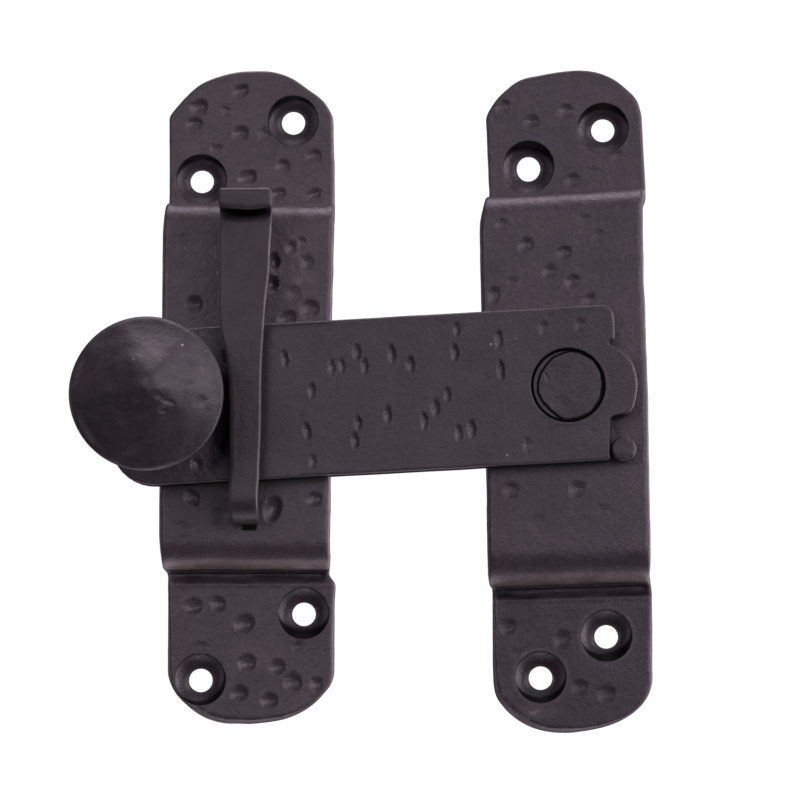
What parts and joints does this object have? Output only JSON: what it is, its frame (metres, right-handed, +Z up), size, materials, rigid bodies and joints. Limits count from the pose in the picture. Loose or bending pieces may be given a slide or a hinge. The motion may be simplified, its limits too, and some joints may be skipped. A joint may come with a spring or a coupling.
{
  "type": "cabinet latch",
  "caption": "Drop-bar cabinet latch in black hammered iron: a knobbed bar pivots on a bent plate and falls behind the open-topped strap of a matching catch plate.",
  "frame": {"origin": "midway between the pivot plate's outer screw holes, on the mounting plane", "axes": "+Z up along the plates, +X to the right from catch plate to pivot plate, -Y out of the door towards the user; the mounting plane is Y = 0"},
  "size_m": [0.0901, 0.0392, 0.105],
  "materials": {
    "plate_iron": "satin black over hammered iron",
    "strap_iron": "satin black, smooth forged",
    "bar_iron": "satin black over hammered iron",
    "knob_iron": "satin black, hammered facets",
    "rivet_iron": "satin black, hammered head"
  },
  "bodies": {
    "plates": {"catch_plate": "plate_iron", "catch_strap": "strap_iron", "pivot_plate": "plate_iron", "pivot_rivet": "rivet_iron", "stop_pin": "rivet_iron"},
    "bar": {"latch_bar": "bar_iron", "knob": "knob_iron"}
  },
  "joints": [
    {"name": "bar_lift", "type": "hinge", "parent": "plates", "child": "bar", "pos_m": [-0.00072, -0.01175, 0.0015], "axis": [0, 1, 0], "range_deg": [0, 93.8]}
  ]
}
